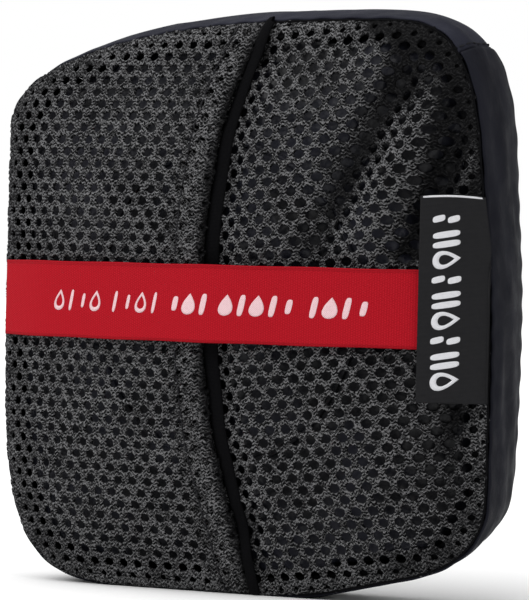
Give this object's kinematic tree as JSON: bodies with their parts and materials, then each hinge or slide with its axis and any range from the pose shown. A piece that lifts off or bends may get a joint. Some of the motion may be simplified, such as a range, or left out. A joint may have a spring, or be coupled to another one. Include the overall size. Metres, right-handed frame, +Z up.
{
  "type": "packed motorcycle bag rain cover in mesh pouch",
  "caption": "Small standing pouch with air-mesh front panels, an overlapped front slit, an elastic band and a side label, holding a folded rain cover.",
  "frame": {"origin": "middle of the flat bottom of the gusset, on which the pouch stands", "axes": "-Y is the mesh front, +X is to the right as the front is seen, +Z is up"},
  "size_m": [0.1449, 0.0504, 0.1512],
  "materials": {
    "mesh_fabric": "matte air mesh",
    "gusset_nylon": "soft satin nylon",
    "binding_tape": "matte",
    "sewing_thread": "matte thread",
    "red_elastic": "ribbed elastic",
    "woven_label": "woven damask",
    "coated_nylon": "coated, slightly glossy",
    "hem_elastic": "matte elastic cord"
  },
  "bodies": {
    "pouch": {"front_panel_left": "mesh_fabric", "front_panel_right": "mesh_fabric", "slit_binding_left": "binding_tape", "slit_binding_right": "binding_tape", "slit_hem_thread_left": "sewing_thread", "slit_hem_thread_right": "sewing_thread", "gusset_top": "gusset_nylon", "gusset_sides": "gusset_nylon", "gusset_join_thread_right": "sewing_thread", "gusset_join_thread_left": "sewing_thread", "back_panel": "gusset_nylon", "front_seam_thread": "sewing_thread", "back_seam_thread": "sewing_thread", "front_seam_tape": "binding_tape", "back_seam_tape": "binding_tape", "band_end_left": "red_elastic", "band_end_right": "red_elastic", "rain_cover": "coated_nylon", "cover_hem_elastic": "hem_elastic"},
    "band_span": {"closure_band": "red_elastic"},
    "label_flap": {"label": "woven_label"}
  },
  "joints": [
    {"name": "band_pull", "type": "slide", "parent": "pouch", "child": "band_span", "axis": [0, -1, 0], "range_m": [0, 0.02], "stiffness_N_per_m": 120},
    {"name": "label_flip", "type": "hinge", "parent": "pouch", "child": "label_flap", "pos_m": [0.07113, -0.01487, 0.0776], "axis": [0, 0, 1], "range_deg": [0, 140], "stiffness_Nm_per_rad": 0.002}
  ]
}
